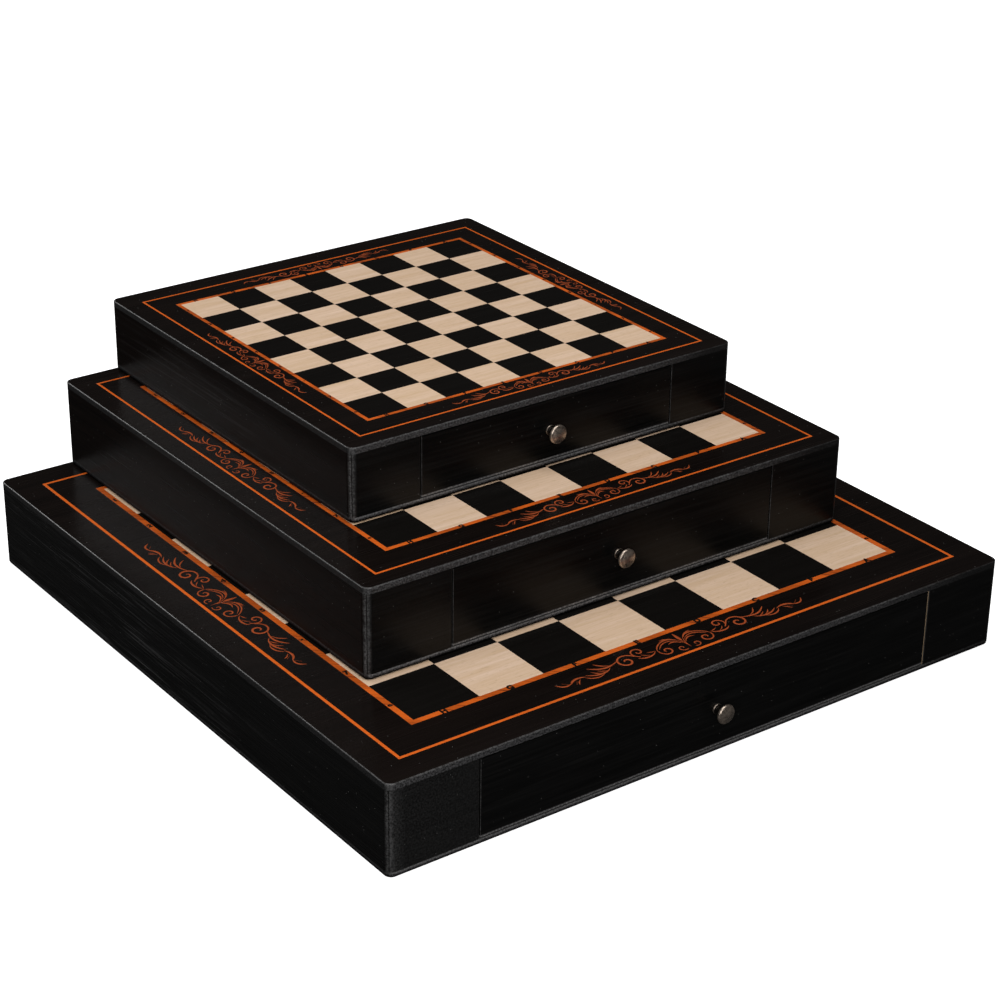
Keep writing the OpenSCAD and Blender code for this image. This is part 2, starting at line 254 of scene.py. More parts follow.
def edit_with(obj, mode, chosen):
    """Enters edit mode with the edges or faces that the test chooses selected."""
    activate(obj)
    bpy.ops.object.mode_set(mode="EDIT")
    bpy.ops.mesh.select_mode(type=mode)
    bpy.ops.mesh.select_all(action="DESELECT")
    mesh = bmesh.from_edit_mesh(obj.data)
    for element in mesh.edges if mode == "EDGE" else mesh.faces:
        if chosen(element):
            element.select_set(True)
    bmesh.update_edit_mesh(obj.data)


def leave_edit():
    bpy.ops.object.mode_set(mode="OBJECT")


def bevel(obj, chosen, offset, segments):
    """Rounds the edges that the test accepts by their two ends."""
    edit_with(obj, "EDGE", lambda edge: chosen(*(vertex.co for vertex in edge.verts)))
    bpy.ops.mesh.bevel(
        offset_type="OFFSET", offset=offset, segments=segments, profile=0.5, affect="EDGES",
        clamp_overlap=False,
    )
    leave_edit()


def upright(low, high, sides):
    """Test for a block's upright edges at the given corners."""
    ends = (low, high)

    def chosen(first, second):
        return any(
            all(abs(end.x - ends[i].x) < NEAR and abs(end.y - ends[j].y) < NEAR for end in (first, second))
            for i, j in sides
        )

    return chosen


def at_height(height):
    """Test for edges that lie at a height."""
    return lambda first, second: abs(first.z - height) < NEAR and abs(second.z - height) < NEAR


def bisect(obj, point, normal, **options):
    """Cuts a whole piece with a plane."""
    edit_with(obj, "FACE", lambda face: True)
    bpy.ops.mesh.bisect(plane_co=point, plane_no=normal, **options)
    leave_edit()


def slice_away(obj, point, normal):
    """Drops what lies on the normal's side of a plane and closes the cut."""
    bisect(obj, point, normal, use_fill=True, clear_outer=True)


def apply_modifier(obj, kind, **settings):
    """Gives a piece a modifier with these settings and applies it."""
    activate(obj)
    modifier = obj.modifiers.new(kind, kind)
    for key, value in settings.items():
        setattr(modifier, key, value)
    bpy.ops.object.modifier_apply(modifier=modifier.name)


def cut(obj, cutter):
    """Takes the cutter out of the piece and removes the cutter."""
    apply_modifier(obj, "BOOLEAN", operation="DIFFERENCE", solver="EXACT", object=cutter)
    bpy.data.objects.remove(cutter, do_unlink=True)


def recalculate(obj):
    """Merges doubles and turns every face outwards."""
    activate(obj)
    bpy.ops.object.mode_set(mode="EDIT")
    bpy.ops.mesh.select_all(action="SELECT")
    bpy.ops.mesh.remove_doubles(threshold=1e-7)
    bpy.ops.mesh.normals_make_consistent(inside=False)
    leave_edit()


def smooth(obj):
    """Smooth shading that keeps the large flat faces flat."""
    activate(obj)
    bpy.ops.object.shade_smooth_by_angle(angle=math.radians(40))
    apply_modifier(obj, "WEIGHTED_NORMAL", keep_sharp=True, weight=90)


def mark(obj, name, value_at):
    """Gives each point of a mesh a value that depends on its place."""
    attribute = obj.data.attributes.new(name, "FLOAT", "POINT")
    for vertex, item in zip(obj.data.vertices, attribute.data):
        item.value = value_at(vertex.co)


def grade(obj, name, axis, levels):
    """Cuts a piece across an axis at each inner level and gives its points the nearest level's value."""
    normal = Vector((0.0, 0.0, 0.0))
    normal[axis] = 1.0
    for level, _ in levels[1:-1]:
        bisect(obj, normal * level, normal)
    mark(obj, name, lambda spot: min(levels, key=lambda level: abs(level[0] - spot[axis]))[1])


def place(obj, material, body, slot, *nodes):
    """Gives a finished piece its material and its body, and hides the nodes that it stands for; the slot is
    not used.
    """
    if material:
        obj.data.materials.clear()
        obj.data.materials.append(material)
    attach(obj, body)
    if nodes:
        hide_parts(*nodes)
    return obj


def paint_two(obj, main, other, chosen):
    """Gives the faces that the test chooses the other material and the rest the main one."""
    obj.data.materials.append(main)
    obj.data.materials.append(other)
    for face in obj.data.polygons:
        if chosen(face):
            face.material_index = 1


def finish_node(name, material):
    """New finish on a node of the frame that keeps its shape."""
    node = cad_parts[name]
    node.data.materials.clear()
    node.data.materials.append(material)


def ring_widths(node):
    """Half widths of a square ring of strips: its outer and its inner edge, from its centre."""
    low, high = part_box(node)
    centre = (low + high) / 2
    reach = [
        max(abs(vertex.co.x - centre.x), abs(vertex.co.y - centre.y))
        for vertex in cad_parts[node].data.vertices
    ]
    return max(reach), min(reach)


def frame_place(size):
    """Centre and height of a board's frame, and its width as a share of the large board's."""
    low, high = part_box(f"{size}_frame_banding")
    large_low, large_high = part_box("large_frame_banding")
    return (low + high) / 2, high.z, (high.x - low.x) / (large_high.x - large_low.x)


# ---------------------------------------------------------------- material helpers


class Nodes:
    """One shader tree, with short ways to add nodes to it."""

    def __init__(self, tree):
        self.tree = tree

    def feed(self, socket, value):
        """Links an output to a socket, or gives the socket a plain number or colour."""
        if isinstance(value, bpy.types.NodeSocket):
            self.tree.links.new(value, socket)
        elif socket.type == "RGBA":
            socket.default_value = (*value, 1.0)
        else:
            socket.default_value = value

    def add(self, kind, inputs=None, **settings):
        """Adds a node with its settings and feeds its inputs, given by name or number."""
        node = self.tree.nodes.new(kind)
        for key, value in settings.items():
            setattr(node, key, value)
        for key, value in (inputs or {}).items():
            self.feed(node.inputs[key], value)
        return node

    def math(self, operation, *values, clamp=False):
        inputs = dict(enumerate(values))
        return self.add("ShaderNodeMath", inputs, operation=operation, use_clamp=clamp).outputs[0]

    def times(self, first, second):
        return self.math("MULTIPLY", first, second)

    def vector_math(self, operation, inputs):
        return self.add("ShaderNodeVectorMath", inputs, operation=operation).outputs[0]

    def ranged(self, value, low, high, to_low=0.0, to_high=1.0):
        """Maps one range of values to another and holds it at the ends."""
        inputs = {"Value": value, "From Min": low, "From Max": high, "To Min": to_low, "To Max": to_high}
        return self.add("ShaderNodeMapRange", inputs).outputs[0]

    def mix(self, share, first, second):
        """Colour between two colours."""
        return self.add("ShaderNodeMix", {0: share, 6: first, 7: second}, data_type="RGBA").outputs[2]

    def vector(self, **parts):
        """Vector made of the parts X, Y and Z that are given."""
        return self.add("ShaderNodeCombineXYZ", parts).outputs[0]

    def parts(self, vector):
        """The X, Y and Z of a vector."""
        return self.add("ShaderNodeSeparateXYZ", {0: vector}).outputs

    def noise(self, vector, scale, detail, roughness=0.5):
        inputs = {"Vector": vector, "Scale": scale, "Detail": detail, "Roughness": roughness}
        return self.add("ShaderNodeTexNoise", inputs).outputs[0]

    def attribute(self, name):
        """Value that the mesh gives its points."""
        return self.add("ShaderNodeAttribute", attribute_name=name).outputs["Fac"]

    def stretched(self, vector, across, along):
        """Coordinates in which one unit is a grain line's pitch across and its length along X."""
        shares = [self.math("DIVIDE", 1.0, size) for size in (along, across, across)]
        scale = self.vector(X=shares[0], Y=shares[1], Z=shares[2])
        return self.vector_math("MULTIPLY", {0: vector, 1: scale})

    def use(self, pattern, inputs):
        """Places one of the shared patterns and gives its outputs."""
        return self.add("ShaderNodeGroup", inputs, node_tree=PATTERNS[pattern]).outputs


class Pattern(Nodes):
    """Shader node group that takes vectors and numbers and gives masks."""

    def __init__(self, name, vectors, numbers):
        super().__init__(bpy.data.node_groups.new(name, "ShaderNodeTree"))
        sockets = self.tree.interface
        for key in vectors:
            sockets.new_socket(key, in_out="INPUT", socket_type="NodeSocketVector")
        for key, default in numbers.items():
            sockets.new_socket(key, in_out="INPUT", socket_type="NodeSocketFloat").default_value = default
        self.given = self.tree.nodes.new("NodeGroupInput").outputs

    def give(self, **masks):
        """Adds the outputs, links the masks to them and gives the finished group."""
        for key in masks:
            self.tree.interface.new_socket(key, in_out="OUTPUT", socket_type="NodeSocketFloat")
        sink = self.tree.nodes.new("NodeGroupOutput")
        for key, mask in masks.items():
            self.feed(sink.inputs[key], mask)
        return self.tree


class Finish(Nodes):
    """Material with one shader, patterned on its piece's own coordinates."""

    def __init__(self, name):
        self.material = bpy.data.materials.new(name)
        self.material.use_nodes = True
        super().__init__(self.material.node_tree)
        self.tree.nodes.clear()
        self.shader = self.add("ShaderNodeBsdfPrincipled")
        self.output = self.add("ShaderNodeOutputMaterial", {"Surface": self.shader.outputs[0]})
        self.surface = self.add("ShaderNodeTexCoord").outputs
        self.spot = self.surface["Object"]

    def turned(self, angle):
        """Coordinates turned about Z, so that the grain runs another way."""
        inputs = {"Vector": self.spot, "Rotation": (0.0, 0.0, angle)}
        return self.add("ShaderNodeMapping", inputs, vector_type="POINT").outputs[0]

    def grain(self, vector, line_pitch, line_length, figure_pitch, wander):
        """Wood grain, with its sizes in millimetres."""
        inputs = {
            "Vector": vector, "Line pitch": line_pitch * MM, "Line length": line_length * MM,
            "Figure pitch": figure_pitch * MM, "Wander": wander,
        }
        return self.use("grain", inputs)

    def mottle(self, patch):
        """Cloudy patches and pits, with the patches' size in millimetres."""
        return self.use("mottle", {"Vector": self.spot, "Patch": patch * MM})

    def done(self, base, rough, plain, relief=None, depth=0.0):
        """Feeds the shader its values and a relief, with the relief's depth in millimetres."""
        for key, value in {"Base Color": base, "Roughness": rough, **plain}.items():
            self.feed(self.shader.inputs[key], value)
        if relief is not None:
            bump = self.add("ShaderNodeBump", {"Height": relief, "Distance": depth * MM, "Strength": 1.0})
            self.feed(self.shader.inputs["Normal"], bump.outputs[0])
        return self.material


def tinted(base, factor):
    """Colour made darker or lighter."""
    return tuple(min(1.0, channel * factor) for channel in base)


# ---------------------------------------------------------------- patterns


def grain_pattern():
    """Wood grain along X: fine lines, broad figure and short pores."""
    numbers = {"Line pitch": 0.6 * MM, "Line length": 40 * MM, "Figure pitch": 8 * MM, "Wander": 0.5}
    nodes = Pattern("Wood grain", ("Vector",), numbers)
    vector, pitch, line = (nodes.given[key] for key in ("Vector", "Line pitch", "Line length"))
    broad = nodes.stretched(vector, nodes.given["Figure pitch"], nodes.times(line, 3.0))
    figure = nodes.noise(broad, 1.0, 3.0, 0.55)
    drift = nodes.vector(Y=nodes.times(figure, nodes.given["Wander"]))
    wavy = nodes.vector_math("ADD", {0: nodes.stretched(vector, pitch, line), 1: drift})
    lines = nodes.noise(wavy, 1.0, 4.0, 0.6)
    short = nodes.stretched(vector, nodes.times(pitch, 0.7), nodes.times(line, 0.12))
    pores = nodes.noise(short, 1.0, 1.0, 0.4)
    return nodes.give(
        Lines=nodes.ranged(lines, 0.3, 0.7),
        Figure=nodes.ranged(figure, 0.3, 0.7),
        Pores=nodes.ranged(pores, 0.62, 0.72),
    )


def speck_pattern():
    """Sparse specks of dust."""
    nodes = Pattern("Dust specks", ("Vector",), {"Spacing": 12 * MM, "Size": 0.03})
    scale = nodes.math("DIVIDE", 1.0, nodes.given["Spacing"])
    cells = nodes.add("ShaderNodeTexVoronoi", {"Vector": nodes.given["Vector"], "Scale": scale})
    return nodes.give(Mask=nodes.math("LESS_THAN", cells.outputs["Distance"], nodes.given["Size"]))


def wear_and_highlight_pattern():
    """Where lacquer wears and edges get a painted highlight: slanted arrises, a panel's sides, flanks and
    upper face, and fine grit; the flanks mask sets the painted shade on sideways faces.
    """
    nodes = Pattern("Edge wear and highlight", ("Vector", "Normal"), {"Patch": 5 * MM})
    vector = nodes.given["Vector"]
    parts = nodes.parts(nodes.given["Normal"])
    across, along, up = (nodes.math("ABSOLUTE", part) for part in parts)
    squareness = nodes.math("MAXIMUM", nodes.math("MAXIMUM", across, along), up)
    slant = nodes.ranged(squareness, 0.985, 0.85)
    scale = nodes.math("DIVIDE", 1.0, nodes.given["Patch"])
    rubbed = nodes.ranged(nodes.noise(vector, scale, 4.0), 0.35, 0.6, 0.45, 1.0)
    grit = nodes.ranged(nodes.noise(vector, nodes.times(scale, 4.5), 2.0), 0.38, 0.66)
    broken = nodes.times(rubbed, nodes.ranged(grit, 0.0, 1.0, 0.35, 1.25))
    return nodes.give(
        Arris=nodes.math("MULTIPLY", slant, broken, clamp=True),
        Side=nodes.ranged(up, 0.75, 0.6),
        Flank=nodes.ranged(across, 0.5, 0.8),
        Upper=nodes.ranged(parts[2], 0.6, 0.8),
        Grit=grit,
    )


def brush_pattern():
    """Long brush strokes along X, gathered in patches."""
    nodes = Pattern("Brush strokes", ("Vector",), {})
    vector = nodes.given["Vector"]
    strokes = nodes.noise(nodes.stretched(vector, 0.95 * MM, 75 * MM), 1.0, 3.0, 0.7)
    patches = nodes.noise(nodes.stretched(vector, 22 * MM, 110 * MM), 1.0, 2.0)
    gathered = nodes.ranged(patches, 0.35, 0.62, 0.25, 1.0)
    return nodes.give(Strokes=nodes.times(nodes.ranged(strokes, 0.55, 0.73), gathered))


def mottle_pattern():
    """Cloudy patches with small pits, for cast metal."""
    nodes = Pattern("Cast mottle", ("Vector",), {"Patch": 2.5 * MM})
    vector = nodes.given["Vector"]
    scale = nodes.math("DIVIDE", 1.0, nodes.given["Patch"])
    clouds = nodes.noise(vector, scale, 5.0, 0.65)
    pits = nodes.noise(vector, nodes.times(scale, 4.0), 2.0)
    return nodes.give(Patches=nodes.ranged(clouds, 0.35, 0.65), Pits=nodes.ranged(pits, 0.45, 0.7))


# ---------------------------------------------------------------- finishes


def lacquer(
    name, base, angle, streaks, roughness, specular, worn, dust, side=None, upper=None, brushed=None
):
    """Thin dark lacquer over brush-stroked wood, worn on its edges, where the light edge colour also paints
    a highlight.

    The last three are the colours of a panel's matt side, of its bare upper face and of a painted sheen
    along the brush strokes.
    """
    finish = Finish(name)
    vector = finish.turned(angle)
    grain = finish.grain(vector, 0.9, 60, 11, 2.5)
    specks = finish.use("specks", {"Vector": finish.spot, "Spacing": 5 * MM, "Size": 0.045})
    wear = finish.use("wear", {"Vector": finish.spot, "Normal": finish.surface["Normal"], "Patch": 5 * MM})

    def gritty(low, high):
        return finish.ranged(wear["Grit"], 0.0, 1.0, low, high)

    shade = finish.mix(grain["Figure"], tinted(base, 0.6), tinted(base, 1.35))
    shade = finish.mix(finish.math("POWER", grain["Lines"], 2.0), shade, tinted(base, streaks))
    # Painted sheen: the brush strokes are coloured lighter where the mesh marks the back lamp's reflection.
    if brushed is not None:
        strokes = finish.use("brush", {"Vector": vector})["Strokes"]
        shade = finish.mix(finish.times(strokes, finish.attribute("brushed")), shade, brushed)
    shade = finish.mix(specks["Mask"], shade, dust)
    rough = finish.ranged(grain["Lines"], 0.0, 1.0, roughness - 0.04, roughness + 0.07)
    # The arris mask is wear and also a painted highlight along the edges.
    arris = wear["Arris"]
    if side is not None:
        reach = finish.parts(finish.surface["Generated"])
        # Painted shade: the matt side and the arris fade darker towards the right end, away from the light.
        fade = finish.ranged(reach[0], 0.74, 0.93, 1.0, 0.2)
        # Painted shade: sides turned left or right show only about a fifth of the matt side colour.
        shown = finish.times(fade, finish.ranged(wear["Flank"], 0.0, 1.0, 1.0, 0.22))
        fibres = finish.vector_math("SCALE", {0: side, "Scale": finish.times(gritty(0.2, 1.8), shown)})
        shade = finish.mix(wear["Side"], shade, fibres)
        matt = finish.add("ShaderNodeMix", {0: wear["Side"], 2: rough, 3: 0.55}, data_type="FLOAT")
        rough = matt.outputs[0]
        arris = finish.times(arris, fade)
    if upper is not None:
        shade = finish.mix(wear["Upper"], shade, upper)
        # Painted shade: below about the middle of its height the bottom panel's side goes back to the plain
        # lacquer colour.
        shade = finish.mix(finish.ranged(reach[2], 0.55, 0.40), shade, base)
        # Gritty wear line along the upper edge of the bottom panel's side, dimmed by the same painted shade
        # as the sides.
        lip = finish.times(finish.ranged(reach[2], 0.66, 0.78), wear["Side"])
        arris = finish.times(finish.times(lip, shown), gritty(0.3, 1.0))
    # Wear and painted highlight: the front corners, and a little of the left stile, are coloured lighter
    # where the light falls.
    rub = finish.times(finish.attribute("rubbed"), gritty(0.10, 0.75))
    shade = finish.mix(rub, shade, tinted(worn, 0.73))
    foot = finish.times(finish.attribute("foot_rubbed"), gritty(0.25, 1.0))
    shade = finish.mix(foot, shade, tinted(worn, 3.0))
    relief = finish.math("SUBTRACT", grain["Lines"], grain["Pores"])
    # Wear and painted highlight: the arrises take the light worn-edge colour.
    return finish.done(
        finish.mix(arris, shade, worn), rough, {"Specular IOR Level": specular}, relief, depth=0.008
    )


def veneer(name, base, line, roughness, specular):
    """Lacquered veneer tile: each tile has its own stretch of grain and its own tone."""
    finish = Finish(name)
    tone = finish.attribute("tile_tone")
    jump = finish.vector(Y=finish.times(tone, 3.0), Z=tone)
    grain = finish.grain(finish.vector_math("ADD", {0: finish.spot, 1: jump}), 1.1, 34, 3.8, 6.5)
    shade = finish.mix(finish.times(grain["Lines"], 0.6), base, line)
    shade = finish.mix(finish.ranged(tone, 0.0, 1.0, 0.0, 0.22), shade, tinted(line, 0.98))
    shade = finish.mix(finish.times(grain["Figure"], 0.62), shade, line)
    shade = finish.mix(finish.times(grain["Pores"], 0.35), shade, tinted(line, 0.7))
    rough = finish.ranged(grain["Lines"], 0.0, 1.0, roughness - 0.03, roughness + 0.06)
    return finish.done(shade, rough, {"Specular IOR Level": specular}, grain["Lines"], depth=0.006)


def banding(name, base, vein, figure):
    """Orange strip with fine grain and stretches of dark veins across it, the same along X and Y."""
    finish = Finish(name)
    spot = finish.parts(finish.spot)
    crossing = finish.vector(X=finish.math("ADD", spot[0], spot[1]))
    flecks = finish.noise(finish.spot, 900.0, 3.0)
    lines = finish.noise(crossing, 620.0, 2.0)
    veins = finish.noise(crossing, 400.0, 2.0)
    stretch = finish.ranged(finish.noise(crossing, 24.0, 1.0), 0.45, 0.52, 0.0, figure)
    shade = finish.mix(finish.ranged(flecks, 0.35, 0.7, 0.0, 0.4), base, tinted(base, 0.68))
    shade = finish.mix(finish.ranged(lines, 0.48, 0.70, 0.0, 0.7), shade, tinted(base, 0.5))
    shade = finish.mix(finish.times(stretch, 0.5), shade, tinted(base, 0.42))
    shade = finish.mix(finish.times(finish.ranged(veins, 0.54, 0.62), stretch), shade, vein)
    rough = finish.ranged(flecks, 0.3, 0.7, 0.30, 0.42)
    return finish.done(shade, rough, {"Specular IOR Level": 0.2}, flecks, depth=0.006)


def print_on_lacquer(name, base, wear):
    """Thin print on the lacquer, a little worn."""
    finish = Finish(name)
    mottle = finish.mottle(1.6)
    shade = finish.mix(finish.times(mottle["Patches"], wear), base, tinted(base, 0.45))
    rough = finish.ranged(mottle["Pits"], 0.0, 1.0, 0.42, 0.55)
    return finish.done(shade, rough, {"Specular IOR Level": 0.14}, mottle["Pits"], depth=0.004)


def raw_wood(name, base, angle):
    """Planed, unfinished wood."""
    finish = Finish(name)
    grain = finish.grain(finish.turned(angle), 1.1, 90, 14, 4.0)
    shade = finish.mix(finish.times(grain["Lines"], 0.45), base, tinted(base, 0.72))
    shade = finish.mix(finish.times(grain["Figure"], 0.35), shade, tinted(base, 0.8))
    shade = finish.mix(finish.times(grain["Pores"], 0.5), shade, tinted(base, 0.45))
    rough = finish.ranged(grain["Lines"], 0.0, 1.0, 0.6, 0.75)
    return finish.done(shade, rough, {"Specular IOR Level": 0.3}, grain["Lines"], depth=0.03)


def felt_cloth(name, base):
    """Short-pile felt with matted fibres."""
    finish = Finish(name)
    fibres = finish.noise(finish.spot, 2600.0, 4.0)
    nap = finish.noise(finish.spot, 60.0, 3.0)
    shade = finish.mix(finish.ranged(fibres, 0.3, 0.7), tinted(base, 0.55), tinted(base, 1.5))
    shade = finish.mix(finish.ranged(nap, 0.4, 0.65, 0.0, 0.35), shade, tinted(base, 1.9))
    rough = finish.ranged(fibres, 0.3, 0.7, 0.85, 1.0)
    plain = {"Specular IOR Level": 0.1, "Sheen Weight": 0.35, "Sheen Roughness": 0.5}
    return finish.done(shade, rough, plain, fibres, depth=0.12)


def pewter(name, base):
    """Cast metal with an antique, mottled finish, dark with patina and painted shade where the mesh says so.
    """
    finish = Finish(name)
    mottle = finish.mottle(2.2)
    shade = finish.mix(mottle["Patches"], tinted(base, 0.6), tinted(base, 1.35))
    shade = finish.mix(finish.times(mottle["Pits"], 0.5), shade, tinted(base, 0.35))
    # Patina and painted shade in the neck, where the head shades it.
    shade = finish.mix(finish.attribute("patina_and_shade"), shade, tinted(base, 0.06))
    rough = finish.ranged(mottle["Patches"], 0.0, 1.0, 0.24, 0.40)
    return finish.done(shade, rough, {"Metallic": 0.9}, mottle["Pits"], depth=0.03)


def zinc_plate(name, base):
    """Zinc-plated steel with faint stains."""
    finish = Finish(name)
    mottle = finish.mottle(1.2)
    shade = finish.mix(mottle["Patches"], base, tinted(base, 0.7))
    rough = finish.ranged(mottle["Pits"], 0.0, 1.0, 0.28, 0.42)
    return finish.done(shade, rough, {"Metallic": 1.0})


def lacquers(colours):
    """The five lacquers by name, each with its own streaks, gloss, and worn edges that also carry a painted
    highlight.
    """
    brown, worn = colours.top_lacquer, colours.worn

    # wear scales the worn-edge colour, which is also the painted highlight on the arrises.
    def coat(name, base, angle, wear, **look):
        return lacquer(name, base, angle, worn=tinted(worn, wear), dust=colours.dust, **look)

    return {
        "top": coat(
            "Top lacquer", brown, ALONG_X, wear=0.6, streaks=1.4, roughness=0.22, specular=0.32,
            side=colours.panel_side,
        ),
        "under": coat(
            "Bottom lacquer", colours.lacquer, ALONG_X, wear=1.4, streaks=2.0, roughness=0.40, specular=0.04,
            side=colours.panel_side, upper=tinted(worn, 0.4),
        ),
        "across": coat(
            "Lacquer across", colours.lacquer, ALONG_X, wear=0.55, streaks=4.2, roughness=0.32, specular=0.14
        ),
        "along": coat(
            "Lacquer along", colours.side_lacquer, ALONG_Y, wear=0.55, streaks=3.0, roughness=0.26,
            specular=0.09, brushed=colours.brushed,
        ),
        "along_matt": coat(
            "Matt lacquer along", tinted(brown, 0.72), ALONG_Y, wear=0.75, streaks=2.2, roughness=0.30,
            specular=0.03, brushed=colours.brushed,
        ),
    }


def make_finishes(colours):
    """Fills the patterns, and then every material of the boxes, by name."""
    PATTERNS.update(
        grain=grain_pattern(), specks=speck_pattern(), wear=wear_and_highlight_pattern(), brush=brush_pattern(),
        mottle=mottle_pattern(),
    )
    orange, dark = colours.orange_veneer, colours.dark_veneer
    FINISHES.update(
        lacquers(colours),
        light=veneer(
            "Light veneer", colours.light_veneer, colours.light_veneer_line, roughness=0.36, specular=0.2
        ),
        dark=veneer("Dark veneer", dark, tinted(dark, 1.9), roughness=0.22, specular=0.12),
        frame=banding("Orange frame", orange, colours.orange_vein, figure=0.95),
        line=banding("Orange line", tinted(orange, 1.1), colours.orange_vein, figure=0.1),
        scroll=print_on_lacquer("Scroll print", colours.scroll, wear=0.6),
        label=print_on_lacquer("Label print", colours.label, wear=0.3),
        raw_x=raw_wood("Raw wood across", colours.raw_wood, ALONG_X),
        raw_y=raw_wood("Raw wood along", colours.raw_wood, ALONG_Y),
        felt=felt_cloth("Green felt", colours.felt),
        pewter=pewter("Antique pewter", colours.pewter),
        zinc=zinc_plate("Zinc", colours.zinc),
    )


class CHESSBOX_OT_finishes(bpy.types.Operator):
    """Makes the materials that the other steps use"""

    bl_idname = "chessbox.finishes"
    bl_label = "Finishes"

    def execute(self, context):
        make_finishes(context.scene.chess_finish)
        return {"FINISHED"}


# ---------------------------------------------------------------- cases


def recess(low, high, top):
    """Cutter for an inlay between two corners, open upwards."""
    return add_block("recess", low, (high.x, high.y, top + MM))


def top_panel(size, case):
    """Top panel with round corners and edge, cut out for the board and for the thin line."""
    node = f"{size}_top_panel"
    low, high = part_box(node)
    panel = add_block(f"{node}_lacquered", low, high)
    bevel(panel, upright(low, high, ((0, 0), (0, 1), (1, 0), (1, 1))), case.corner_radius, segments=16)
    bevel(panel, at_height(high.z), case.top_edge_radius, segments=8)
    cut(panel, recess(*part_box(f"{size}_frame_banding"), high.z))
    line_low, line_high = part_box(f"{size}_line_banding")
    outer, inner = ring_widths(f"{size}_line_banding")
    inset = Vector((outer - inner, outer - inner, -MM))
    groove = recess(line_low, line_high, high.z)
    cut(groove, recess(line_low + inset, line_high - inset, high.z + MM))
    cut(panel, groove)
    smooth(panel)
    place(panel, FINISHES["top"], f"{size}_box", "black_lacquer", node)


class CHESSBOX_OT_top_panels(bpy.types.Operator):
    """Builds the three top panels"""

    bl_idname = "chessbox.top_panels"
    bl_label = "Top panels"

    def execute(self, context):
        for size in SIZES:
            top_panel(size, context.scene.chess_case)
        return {"FINISHED"}


def mitre(wall, corner, end, inward, case):
    """Cuts a wall's end to its mitre and bevels the joint where it comes out at the round corner."""
    slice_away(wall, corner, end)
    joint = corner + inward * case.corner_radius * (1 - math.sqrt(0.5))
    bevel(wall, upright(joint, joint, ((0, 0),)), case.mitre_groove, segments=1)


def case_wall(size, side, case):
    """One lacquered wall: left, right or back."""
    node = f"{size}_{side}_wall"
    low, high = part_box(node)
    full_low, full_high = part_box(f"{size}_top_panel")
    if side == "back":
        low.x, high.x = full_low.x, full_high.x
        corners = ((0, 1), (1, 1))
    else:
        low.y, high.y = full_low.y, full_high.y
        corners = ((0, 0), (0, 1)) if side == "left" else ((1, 0), (1, 1))
    wall = add_block(f"{node}_lacquered", low, high)
    bevel(wall, upright(low, high, corners), case.corner_radius, segments=24)
    for i, j in corners:
        corner = Vector(((low.x, high.x)[i], (low.y, high.y)[j], 0.0))
        outward = Vector((2 * i - 1, 2 * j - 1, 0))
        end = Vector((outward.x, -outward.y, 0))
        mitre(wall, corner, end if side == "back" else -end, -outward, case)
    if side != "back":
        paint_brush_sheen(wall, size)
    smooth(wall)
    finish = "across" if side == "back" else "along" if size == "large" else "along_matt"
    place(wall, FINISHES[finish], f"{size}_box", "black_lacquer", node)


def paint_brush_sheen(wall, size):
    """Painted sheen along a side wall's brush strokes, strongest towards the back, where the back lamp's
    reflection falls.
    """
    low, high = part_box(f"{size}_top_panel")
    # Strength of the painted sheen on each box's side walls.
    strength = {"large": 1.0, "medium": 0.08, "small": 0.3}[size]
    # How far back along the wall, and how much painted sheen shows on its brush strokes there.
    shares = ((0.0, 0.05), (0.25, 0.08), (0.5, 0.7), (0.75, 1.0), (0.93, 0.5), (1.0, 0.4))
    levels = [(low.y + share * (high.y - low.y), value * strength) for share, value in shares]
    grade(wall, "brushed", 1, levels)


def rub_and_light_corner(stile, size, side, corner_x, edge, inward, case):
    """Stile rubbed at its corner, with a painted highlight there, most on the large box, and painted lighter
    a little over the rest of a left one, which faces the light.
    """
    # The left stile faces the light: its corner gets the full painted highlight and its whole face some
    # painted light; the right gets a fifth.
    strength = (1.0 if size == "large" else 0.4) * (1.0 if side == "left" else 0.2)
    rest = (0.4 if side == "left" else 0.0) * strength**2
    solid_end = corner_x + inward * case.corner_radius * 0.8 * strength
    fade_end = solid_end + inward * case.rub_and_light_width * strength
    grade(stile, "rubbed", 0, [(corner_x, strength), (solid_end, strength), (fade_end, rest), (edge, rest)])


def front_stile(size, side, case):
    """Fixed piece of the front beside the drawer, with the large box's left raw towards the drawer."""
    low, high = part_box(f"{size}_front_stiles")
    full_low, full_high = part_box(f"{size}_top_panel")
    front_low, front_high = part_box(f"{size}_drawer_front")
    gap = front_low.z - low.z
    if side == "left":
        low.x, high.x = full_low.x, front_low.x - gap
        corner, edge, inward = low.x, high.x, 1
    else:
        low.x, high.x = front_high.x + gap, full_high.x
        corner, edge, inward = high.x, low.x, -1
    stile = add_block(f"{size}_{side}_stile", low, high)
    bevel(stile, upright(low, high, ((0 if side == "left" else 1, 0),)), case.corner_radius, segments=24)
    mitre(stile, Vector((corner, low.y, 0.0)), Vector((-inward, 1, 0)), Vector((inward, 1, 0)), case)
    opening = Vector((edge, low.y))
    bevel(stile, upright(opening, opening, ((0, 0),)), case.opening_bevel, segments=3)
    rub_and_light_corner(stile, size, side, corner, edge, inward, case)
    smooth(stile)
    inner = FINISHES["raw_x"] if size == "large" else FINISHES["along"]
    paint_two(
        stile, FINISHES["across"], inner,
        lambda face: abs(face.normal.x) > 0.99 and abs(face.center.x - edge) < MM,
    )
    place(stile, None, f"{size}_box", "black_lacquer", f"{size}_front_stiles")


